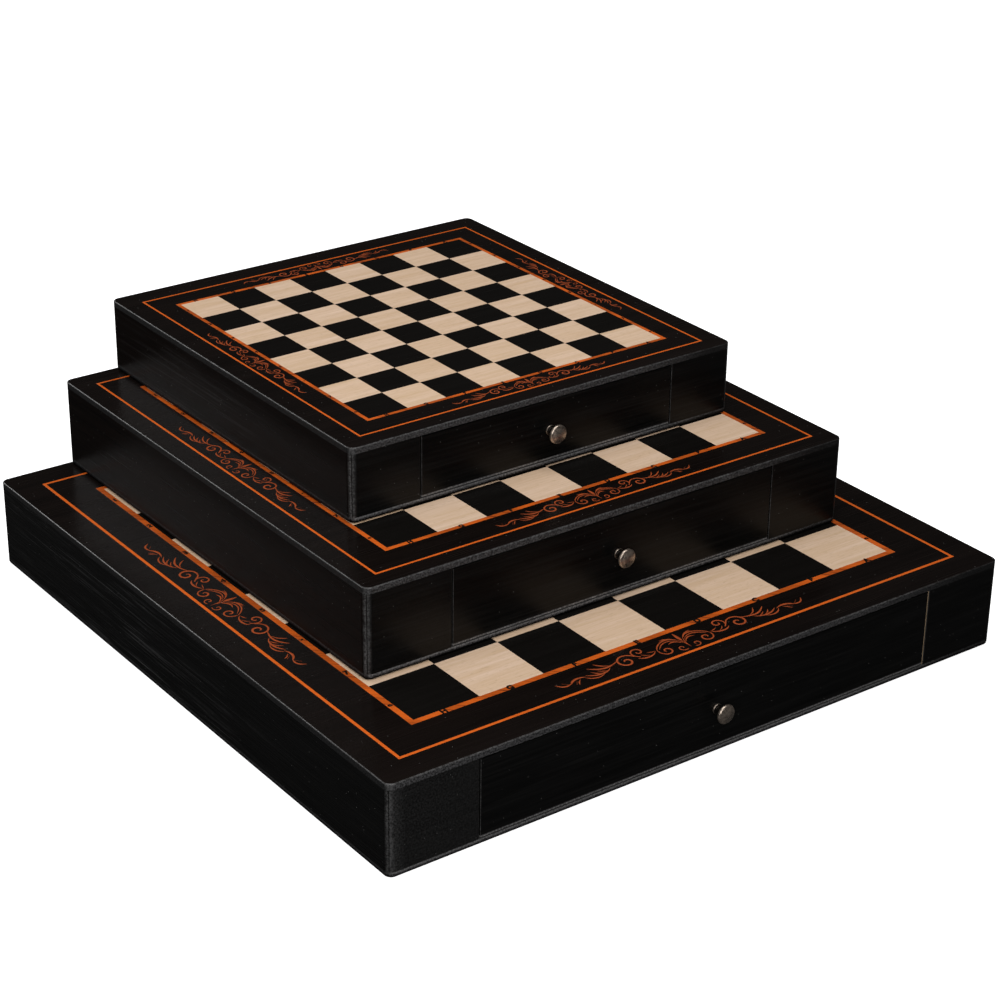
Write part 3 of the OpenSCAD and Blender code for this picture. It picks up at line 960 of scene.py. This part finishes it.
class CHESSBOX_OT_walls(bpy.types.Operator):
    """Builds the side walls, back walls and stiles"""

    bl_idname = "chessbox.walls"
    bl_label = "Walls and stiles"

    def execute(self, context):
        case = context.scene.chess_case
        for size in SIZES:
            for side in ("left", "right", "back"):
                case_wall(size, side, case)
            for side in ("left", "right"):
                front_stile(size, side, case)
            finish_node(f"{size}_bottom_panel", FINISHES["under"])
            finish_node(f"{size}_drawer_guides", FINISHES["raw_y"])
            finish_node(f"{size}_bottom_screws", FINISHES["zinc"])
        return {"FINISHED"}


# ---------------------------------------------------------------- boards


def board_tiles(size, shade, inlay):
    """The 32 squares of one colour: one tile, repeated along X and Y, and again one square further on."""
    node = f"{size}_{shade}_squares"
    low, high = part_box(node)
    pitch = 2 * ring_widths(f"{size}_frame_banding")[1] / len(RANKS)
    tile_width = high.x - low.x - (len(RANKS) - 1) * pitch
    start_x = low.x if shade == "dark" else low.x + pitch
    tile = add_block(node, (start_x, low.y, low.z), (start_x + tile_width, low.y + tile_width, high.z))
    bevel(tile, at_height(high.z), inlay.tile_bevel, segments=2)
    for axis in range(2):
        apply_modifier(
            tile, "ARRAY", count=len(RANKS) // 2, use_relative_offset=False, use_constant_offset=True,
            constant_offset_displace=[2 * pitch if i == axis else 0 for i in range(3)],
        )
    twin = copy_of(tile, "shifted tiles")
    twin.location = (pitch if shade == "dark" else -pitch, pitch, 0)
    tiles = join([tile, settle(twin)], f"{node}_tiles")
    tones = random.Random(f"{size} {shade}")
    by_cell = {}

    def tone_at(spot):
        cell = (int((spot.x - low.x) // pitch), int((spot.y - low.y) // pitch))
        if cell not in by_cell:
            by_cell[cell] = tones.random()
        return by_cell[cell]

    mark(tiles, "tile_tone", tone_at)
    smooth(tiles)
    place(tiles, FINISHES[shade], f"{size}_box", f"{shade}_veneer", node)


def mitred_strips(size, kind, inlay):
    """Four strips round the board: one strip, mitred at both ends, and three turned copies."""
    node = f"{size}_{kind}_banding"
    low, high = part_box(node)
    outer, inner = ring_widths(node)
    strip = add_block(f"{node}_strip", low, (high.x, low.y + outer - inner, high.z))
    slice_away(strip, Vector((low.x, low.y, 0)), Vector((-1, 1, 0)))
    slice_away(strip, Vector((high.x, low.y, 0)), Vector((1, 1, 0)))
    bevel(strip, at_height(high.z), inlay.tile_bevel, segments=2)
    centre = (low + high) / 2
    copies = [
        turned_copy(strip, f"{node}_strip_{turn}", centre, turn * QUARTER_TURN) for turn in range(1, 4)
    ]
    ring = join([strip, *copies], f"{node}_strips")
    smooth(ring)
    place(ring, FINISHES[kind], f"{size}_box", "orange_veneer", node)


class CHESSBOX_OT_boards(bpy.types.Operator):
    """Builds the squares and inlaid strips"""

    bl_idname = "chessbox.boards"
    bl_label = "Squares and strips"

    def execute(self, context):
        inlay = context.scene.chess_inlay
        for size in SIZES:
            for shade in ("dark", "light"):
                board_tiles(size, shade, inlay)
            for kind in ("frame", "line"):
                mitred_strips(size, kind, inlay)
        return {"FINISHED"}


# A capital's height as a share of the font's size, and a label's height over its depth in the inlay.
CAPITAL_SHARE = 0.7
HEIGHT_OVER_DEPTH = 20


def glyph(character, spot, height, inlay):
    """One letter or number as a thin mesh, centred on a spot."""
    deselect()
    bpy.ops.object.text_add(location=spot)
    text = bpy.context.object.data
    text.body = character
    text.size = height / CAPITAL_SHARE
    text.align_x = "CENTER"
    text.align_y = "CENTER"
    text.extrude = 0.5 * height / HEIGHT_OVER_DEPTH
    text.offset = inlay.label_boldness * height
    bpy.ops.object.convert(target="MESH")
    return settle(bpy.context.object)


def board_labels(size, inlay):
    """Letters along the front and back strips and numbers along the side strips."""
    centre, top, share = frame_place(size)
    outer, inner = ring_widths(f"{size}_frame_banding")
    height = inlay.label_height * share
    middle = (outer + inner) / 2
    glyphs = []
    for index in range(len(FILES)):
        step = (index - (len(FILES) - 1) / 2) * 2 * outer / len(FILES)
        letter, number = FILES[-1 - index], RANKS[-1 - index]
        for character, x, y in (
            (letter, step, -middle), (letter, step, middle), (number, -middle, step), (number, middle, step),
        ):
            glyphs.append(glyph(character, Vector((centre.x + x, centre.y + y, top)), height, inlay))
    labels = join(glyphs, f"{size}_board_labels")
    for vertex in labels.data.vertices:
        vertex.co.z = top + (inlay.label_relief if vertex.co.z > top else -height / HEIGHT_OVER_DEPTH)
    place(labels, FINISHES["label"], f"{size}_box", "dark_veneer")


class CHESSBOX_OT_labels(bpy.types.Operator):
    """Prints the letters and numbers on the inlaid frames"""

    bl_idname = "chessbox.labels"
    bl_label = "Board labels"

    def execute(self, context):
        for size in SIZES:
            board_labels(size, context.scene.chess_inlay)
        return {"FINISHED"}


# ---------------------------------------------------------------- scrolls

# Half of the scroll in millimetres: X runs outwards from its middle, Y towards the board.
# Each stroke is its greatest width and the points that it runs through.
STROKES = (
    (0.9, ((0.0, -8.4), (0.2, -3.6), (0.9, -0.5), (2.2, 2.2))),
    (1.2, ((1.8, 2.2), (4.7, 4.8), (8.5, 6.0), (12.8, 5.4), (16.4, 3.2), (19.0, 0.5), (20.2, -1.9))),
    (1.1, ((2.4, 1.2), (5.2, 3.2), (8.7, 4.2), (12.3, 3.6), (15.4, 1.7), (17.8, -0.6))),
    (0.9, ((2.2, 2.3), (5.3, 5.8), (8.5, 7.3), (11.8, 8.1))),
    (0.8, ((3.2, 3.3), (6.6, 5.9), (9.6, 6.9), (12.4, 6.8))),
    (1.5, ((1.2, -1.8), (3.9, 1.0), (6.6, 2.0), (9.8, 1.1))),
    (1.7, ((21.2, -0.9), (24.1, -3.0), (27.9, -3.9), (32.0, -3.3), (34.6, -1.5))),
    (0.9, ((21.0, -0.8), (23.8, -0.1), (26.4, 0.9))),
    (0.9, ((26.4, -2.9), (29.2, -1.3), (31.0, 1.0))),
    (1.8, ((46.6, 3.0), (50.3, 1.5), (54.9, 0.5), (60.0, 1.0), (64.1, 3.3), (67.0, 5.7))),
    (1.3, ((53.6, 1.4), (57.0, 2.9), (59.3, 5.2), (61.0, 7.8))),
    (1.7, ((54.6, -0.8), (57.5, -2.8), (61.0, -3.6), (65.1, -3.5), (68.7, -2.2), (72.0, 0.0))),
    (1.1, ((57.8, -2.6), (60.5, -1.7), (63.2, 0.3))),
    (1.1, ((61.6, -3.4), (64.9, -1.7), (67.4, 1.3))),
    (1.4, ((60.6, -3.9), (64.6, -5.7), (68.2, -5.6), (71.2, -4.3), (73.6, -1.9))),
    (2.1, ((72.6, -1.4), (75.8, -0.2), (79.9, -0.2), (83.0, -1.6), (84.8, -3.3))),
    (1.2, ((77.0, -1.6), (79.7, -4.2), (80.8, -6.3))),
    (0.9, ((79.6, -2.0), (82.2, -5.4))),
    (1.7, ((83.6, -2.6), (87.6, -3.6), (90.6, -2.8), (93.5, 0.8))),
    (0.9, ((86.0, -2.6), (89.2, 0.2))),
)
# Each volute: width, centre, radius and angle in degrees at its arm and at its eye.
VOLUTES = (
    (1.2, (14.9, -3.9), 5.4, 22, 0.9, -400),
    (1.2, (30.4, 4.5), 5.7, -72, 0.8, 380),
    (1.5, (42.4, -0.6), 7.9, 165, 1.0, -345),
    (0.9, (5.3, -6.5), 3.6, -135, 0.6, 230),
)
SPEAR = (2.5, ((0.0, 9.8), (0.0, 6.2), (0.0, 3.4), (0.0, 0.0)))
SCROLL_HALF = 93.5
VOLUTE_STEPS = 22


def volute_points(centre, arm, arm_angle, eye, eye_angle):
    """Points along a spiral that winds from its arm to its eye."""
    for index in range(VOLUTE_STEPS + 1):
        share = index / VOLUTE_STEPS
        radius = arm + (eye - arm) * share**0.75
        angle = math.radians(arm_angle + (eye_angle - arm_angle) * share)
        yield centre[0] + radius * math.cos(angle), centre[1] + radius * math.sin(angle)


def leaf_taper(share):
    """Thin at both ends, widest past the middle."""
    return 0.22 + 0.78 * math.sin(math.pi * share**1.15)


def volute_taper(share):
    """Thin arm, full bend and a small eye."""
    return 0.35 + 0.65 * math.sin(math.pi * min(1.0, 0.15 + 0.75 * share))


def drawn(name, strokes, **settings):
    """Mesh of round strokes, each a width, its points and its taper, drawn as one curve."""
    curve = bpy.data.curves.new(name, "CURVE")
    curve.dimensions = "3D"
    curve.bevel_depth = MM
    curve.bevel_resolution = 1
    curve.use_fill_caps = True
    for key, value in settings.items():
        setattr(curve, key, value)
    for width, points, taper in strokes:
        points = list(points)
        spline = curve.splines.new("BEZIER")
        spline.bezier_points.add(len(points) - 1)
        for index, ((x, y), point) in enumerate(zip(points, spline.bezier_points)):
            point.co = (x * MM, y * MM, 0.0)
            point.handle_left_type = "AUTO"
            point.handle_right_type = "AUTO"
            point.radius = taper(index / (len(points) - 1)) * width / 2
    obj = bpy.data.objects.new(name, curve)
    bpy.context.scene.collection.objects.link(obj)
    activate(obj)
    bpy.ops.object.convert(target="MESH")
    return bpy.context.object


def scroll_model(inlay):
    """The whole scroll, flattened, centred on the origin."""
    strokes = [(width * inlay.scroll_weight, points, leaf_taper) for width, points in STROKES]
    strokes += [(width, volute_points(*spiral), volute_taper) for width, *spiral in VOLUTES]
    half = drawn("scroll", strokes, resolution_u=5)
    other = copy_of(half, "scroll_mirrored")
    other.scale.x = -1
    settle(other)
    whole = join([half, other, drawn("spear", [(*SPEAR, leaf_taper)])], "scroll_model")
    whole.scale.z = inlay.scroll_flatness
    recalculate(settle(whole))
    activate(whole)
    bpy.ops.object.shade_smooth()
    return whole


def scrolls(size, model, inlay):
    """A scroll on each of the four borders of a board, its spear towards the board."""
    centre, top, share = frame_place(size)
    scale = share * inlay.scroll_length / (2 * SCROLL_HALF * MM)
    border = (ring_widths(f"{size}_frame_banding")[0] + ring_widths(f"{size}_line_banding")[1]) / 2
    for quarter, side in enumerate(("front", "right", "back", "left")):
        piece = copy_of(model, f"{size}_{side}_scroll")
        angle = quarter * QUARTER_TURN
        piece.scale = (scale, scale, 1.0)
        piece.rotation_euler.z = angle
        piece.location = (centre.x + border * math.sin(angle), centre.y - border * math.cos(angle), top)
        settle(piece)
        place(piece, FINISHES["scroll"], f"{size}_box", "orange_veneer")


class CHESSBOX_OT_scrolls(bpy.types.Operator):
    """Draws the scroll ornament on every border"""

    bl_idname = "chessbox.scrolls"
    bl_label = "Scrolls"

    def execute(self, context):
        inlay = context.scene.chess_inlay
        model = scroll_model(inlay)
        for size in SIZES:
            scrolls(size, model, inlay)
        bpy.data.objects.remove(model, do_unlink=True)
        return {"FINISHED"}


# ---------------------------------------------------------------- drawers


def drawer_front(size, case):
    """Drawer front, lacquered outside and raw behind, bored for the knob screw's head."""
    node = f"{size}_drawer_front"
    low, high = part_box(node)
    front = add_block(f"{node}_lacquered", low, high)
    bevel(front, upright(low, high, ((0, 0), (1, 0))), case.front_bevel, segments=3)
    screw_low, screw_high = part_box(f"{size}_knob_screw")
    deselect()
    bpy.ops.mesh.primitive_cylinder_add(
        vertices=48, radius=(screw_high.x - screw_low.x) / 2 + case.screw_clearance,
        depth=2 * case.screw_head_depth,
        location=((screw_low.x + screw_high.x) / 2, high.y, (screw_low.z + screw_high.z) / 2),
        rotation=(QUARTER_TURN, 0, 0),
    )
    cut(front, settle(bpy.context.object))
    rub_end = low.z + case.foot_rub
    levels = [(low.z, 1.0), (rub_end, 1.0), (rub_end + case.foot_rub, 0.0), (high.z, 0.0)]
    grade(front, "foot_rubbed", 2, levels)
    smooth(front)
    hole_end = high.y - case.screw_head_depth - NEAR

    def raw(face):
        """Test for the back and the hole, which lie clear of the lacquered edges."""
        x, y, z = face.center
        return y > hole_end and low.x + MM < x < high.x - MM and low.z + MM < z < high.z - MM

    paint_two(front, FINISHES["across"], FINISHES["raw_x"], raw)
    place(front, None, f"{size}_drawer", "black_lacquer", node)


def drawer_boards(size, case):
    """Two sides, the back and the divider."""
    low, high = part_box(f"{size}_drawer_sides")
    back_low, back_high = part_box(f"{size}_drawer_back")
    boards = [
        ("drawer_left_side", "drawer_sides", low, (back_low.x, high.y, high.z), "raw_y"),
        ("drawer_right_side", "drawer_sides", (back_high.x, low.y, low.z), high, "raw_y"),
        ("drawer_back_board", "drawer_back", back_low, back_high, "raw_x"),
        ("drawer_divider_board", "drawer_divider", *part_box(f"{size}_drawer_divider"), "raw_y"),
    ]
    for name, node, board_low, board_high, finish in boards:
        board = add_block(f"{size}_{name}", board_low, board_high)
        apply_modifier(
            board, "BEVEL", width=case.board_bevel, segments=3, limit_method="ANGLE",
            angle_limit=math.radians(40),
        )
        smooth(board)
        place(board, FINISHES[finish], f"{size}_drawer", "raw_wood", f"{size}_{node}")
    finish_node(f"{size}_drawer_bottom", FINISHES["raw_x"])
    finish_node(f"{size}_knob_screw", FINISHES["zinc"])


def felt_linings(size, case):
    """Felt cut to each compartment and glued to the drawer's bottom."""
    low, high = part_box(f"{size}_drawer_lining")
    divider_low, divider_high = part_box(f"{size}_drawer_divider")
    for side, x_low, x_high in (("left", low.x, divider_low.x), ("right", divider_high.x, high.x)):
        felt = add_block(f"{size}_{side}_felt", (x_low, low.y, low.z), (x_high, high.y, high.z))
        bevel(felt, at_height(high.z), case.felt_edge, segments=3)
        smooth(felt)
        place(felt, FINISHES["felt"], f"{size}_drawer", "green_felt", f"{size}_drawer_lining")


class CHESSBOX_OT_drawers(bpy.types.Operator):
    """Builds the drawers with their fronts, boards and felt"""

    bl_idname = "chessbox.drawers"
    bl_label = "Drawers"

    def execute(self, context):
        case = context.scene.chess_case
        for size in SIZES:
            drawer_front(size, case)
            drawer_boards(size, case)
            felt_linings(size, case)
        return {"FINISHED"}


# ---------------------------------------------------------------- knobs


def arc(centre, radius, start, end, steps):
    """Rings of a turned piece along an arc, as (radius, height) pairs."""
    for index in range(steps + 1):
        angle = math.radians(start + (end - start) * index / steps)
        yield centre[0] + radius * math.cos(angle), centre[1] + radius * math.sin(angle)


def knob_rings(head_radius, projection, knob):
    """Outline of the knob from its foot to its crown: bead, neck, flare, rim and dome."""
    bead = knob.collar_height / 2
    foot = knob.collar_radius - bead
    hollow = foot - knob.neck_radius
    rim_reach = head_radius - knob.rim_radius
    rim_height = projection - knob.dome_rise - knob.rim_radius
    flare_inset = 0.4 * MM
    flare = rim_reach - knob.neck_radius - flare_inset
    flare_height = rim_height - knob.rim_radius - 0.55 * flare
    dome_radius = (rim_reach**2 + knob.dome_rise**2) / (2 * knob.dome_rise)
    dome_angle = math.degrees(math.asin(rim_reach / dome_radius))
    yield foot, 0.0
    yield from arc((foot, bead), bead, -90, 90, steps=8)
    yield from arc((knob.neck_radius + hollow, knob.collar_height + hollow), hollow, -105, -180, steps=4)
    yield from arc((knob.neck_radius + flare, flare_height), flare, 180, 135, steps=5)
    yield from arc((rim_reach, rim_height), knob.rim_radius, -100, 90 - dome_angle / 2, steps=10)
    crown = (0.0, projection - dome_radius)
    yield from arc(crown, dome_radius, 90 - dome_angle * 0.96, 90 - dome_angle * 0.12, steps=6)


def turned_knob(name, rings, steps):
    """Knob standing on the origin: a circle, drawn up ring by ring, and closed at both ends."""
    deselect()
    bpy.ops.mesh.primitive_circle_add(vertices=steps, radius=rings[0][0], fill_type="NGON")
    obj = rename(bpy.context.object, name)
    bpy.ops.object.mode_set(mode="EDIT")
    bpy.ops.mesh.select_all(action="SELECT")
    for (radius, height), (next_radius, next_height) in zip(rings, rings[1:]):
        bpy.ops.mesh.extrude_region_move(TRANSFORM_OT_translate={"value": (0.0, 0.0, next_height - height)})
        share = next_radius / radius
        bpy.ops.transform.resize(value=(share, share, 1.0), center_override=(0.0, 0.0, 0.0))
    leave_edit()
    recalculate(obj)
    activate(obj)
    bpy.ops.object.shade_smooth_by_angle(angle=math.radians(50))
    return obj


def fitted_knob(size, settings):
    """Knob turned for its node's box, with dark patina and painted shade in its neck, and set on the drawer
    front.
    """
    node = f"{size}_knob"
    low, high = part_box(node)
    rings = list(knob_rings((high.x - low.x) / 2, high.y - low.y, settings))
    knob = turned_knob(f"{node}_turned", rings, settings.steps)
    neck_start = 0.8 * settings.collar_height
    neck_end = high.y - low.y - settings.dome_rise - 1.3 * settings.rim_radius
    # Marks the neck for dark patina and painted shade.
    mark(knob, "patina_and_shade", lambda spot: float(neck_start < spot.z < neck_end))
    knob.rotation_euler.x = QUARTER_TURN
    knob.location = ((low.x + high.x) / 2, high.y, (low.z + high.z) / 2)
    settle(knob)
    place(knob, FINISHES["pewter"], f"{size}_drawer", "antique_pewter", node)


class CHESSBOX_OT_knobs(bpy.types.Operator):
    """Turns the three knobs"""

    bl_idname = "chessbox.knobs"
    bl_label = "Knobs"

    def execute(self, context):
        for size in SIZES:
            fitted_knob(size, context.scene.chess_knob)
        return {"FINISHED"}


# ---------------------------------------------------------------- stage


def softbox(name, place_at, aim, width, height, watts):
    """Softbox at a place, aimed at a point."""
    deselect()
    bpy.ops.object.light_add(type="AREA", location=place_at)
    lamp = bpy.context.object
    lamp.name = name
    lamp.data.shape = "RECTANGLE"
    lamp.data.size = width
    lamp.data.size_y = height
    lamp.data.energy = watts
    lamp.rotation_euler = (Vector(aim) - Vector(place_at)).to_track_quat("-Z", "Y").to_euler()


def floor_material(stage):
    """Pale floor: white to the camera with the object's shadow, darker to everything else."""
    floor = Finish("Floor")
    floor.done((0.85, 0.85, 0.85), 0.9, {"Specular IOR Level": 0.0})
    glow = floor.add("ShaderNodeEmission", {"Color": (1.0, 1.0, 1.0), "Strength": stage.floor_glow})
    bright = floor.add("ShaderNodeAddShader", {0: floor.shader.outputs[0], 1: glow.outputs[0]})
    dim = floor.add("ShaderNodeBsdfDiffuse", {"Color": (0.05, 0.05, 0.05)})
    seen = floor.add("ShaderNodeLightPath").outputs["Is Camera Ray"]
    chosen = floor.add("ShaderNodeMixShader", {0: seen, 1: dim.outputs[0], 2: bright.outputs[0]})
    floor.feed(floor.output.inputs["Surface"], chosen.outputs[0])
    return floor.material


def add_floor(stage):
    """Floor that the stack stands on, a hair below its underside."""
    deselect()
    bpy.ops.mesh.primitive_plane_add(size=30, location=(0, 0, -0.2 * MM))
    floor = settle(rename(bpy.context.object, "floor"))
    floor.data.materials.append(floor_material(stage))


def studio_world(stage):
    """White to the camera, a dim studio in reflections and an even grey light for the rest."""
    world = bpy.data.worlds.new("Studio")
    world.use_nodes = True
    nodes = Nodes(world.node_tree)
    nodes.tree.nodes.clear()
    path = nodes.add("ShaderNodeLightPath").outputs
    dimming = nodes.times(path["Is Glossy Ray"], stage.mirrored_light - stage.even_light)
    lit = nodes.math("ADD", dimming, stage.even_light)
    strength = nodes.math("MAXIMUM", path["Is Camera Ray"], lit)
    background = nodes.add("ShaderNodeBackground", {"Color": (1.0, 1.0, 1.0), "Strength": strength})
    nodes.add("ShaderNodeOutputWorld", {"Surface": background.outputs[0]})
    bpy.context.scene.world = world


def add_camera(stage):
    """Camera of the main view."""
    data = bpy.data.cameras.new("camera")
    data.lens = stage.lens
    data.sensor_width = 36.0
    data.clip_end = 100.0
    camera = bpy.data.objects.new("camera", data)
    bpy.context.scene.collection.objects.link(camera)
    camera.location = stage.camera_place
    camera.rotation_euler = stage.camera_turn
    bpy.context.scene.camera = camera


class CHESSBOX_OT_stage(bpy.types.Operator):
    """Sets up the floor, lamps, world and camera"""

    bl_idname = "chessbox.stage"
    bl_label = "Stage"

    def execute(self, context):
        stage = context.scene.chess_stage
        add_floor(stage)
        softbox("overhead_softbox", (-0.17, -0.28, 1.55), (0.0, 0.0, 0.1), 1.2, 1.2, stage.overhead_power)
        softbox("softbox_behind", (-1.1, 1.86, 1.02), (-0.2, 0.1, 0.06), 0.7, 0.7, stage.back_power)
        softbox("lamp_at_the_front", (-0.75, -1.0, 0.6), (-0.1, -0.2, 0.05), 1.0, 0.9, stage.front_power)
        studio_world(stage)
        add_camera(stage)
        context.scene.view_settings.view_transform = "Standard"
        return {"FINISHED"}


# ---------------------------------------------------------------- add-on


class CHESSBOX_PT_panel(bpy.types.Panel):
    """Lists the building steps"""

    bl_label = "Chess boxes"
    bl_idname = "CHESSBOX_PT_panel"
    bl_space_type = "VIEW_3D"
    bl_region_type = "UI"
    bl_category = "Chess boxes"

    def draw(self, context):
        for step in STEPS:
            self.layout.operator(step.bl_idname)


STEPS = (
    CHESSBOX_OT_finishes,
    CHESSBOX_OT_top_panels,
    CHESSBOX_OT_walls,
    CHESSBOX_OT_boards,
    CHESSBOX_OT_labels,
    CHESSBOX_OT_scrolls,
    CHESSBOX_OT_drawers,
    CHESSBOX_OT_knobs,
    CHESSBOX_OT_stage,
)
SETTINGS = {
    "chess_case": CaseSettings,
    "chess_inlay": InlaySettings,
    "chess_knob": KnobSettings,
    "chess_finish": FinishSettings,
    "chess_stage": StageSettings,
}


def register():
    for group in (*SETTINGS.values(), *STEPS, CHESSBOX_PT_panel):
        bpy.utils.register_class(group)
    for name, group in SETTINGS.items():
        setattr(bpy.types.Scene, name, PointerProperty(type=group))


def unregister():
    for name in SETTINGS:
        delattr(bpy.types.Scene, name)
    for group in (CHESSBOX_PT_panel, *reversed(STEPS), *reversed(SETTINGS.values())):
        bpy.utils.unregister_class(group)


def main():
    register()
    bpy.ops.chessbox.finishes()
    bpy.ops.chessbox.top_panels()
    bpy.ops.chessbox.walls()
    bpy.ops.chessbox.boards()
    bpy.ops.chessbox.labels()
    bpy.ops.chessbox.scrolls()
    bpy.ops.chessbox.drawers()
    bpy.ops.chessbox.knobs()
    bpy.ops.chessbox.stage()
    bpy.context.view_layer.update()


if __name__ == "__main__":
    main()
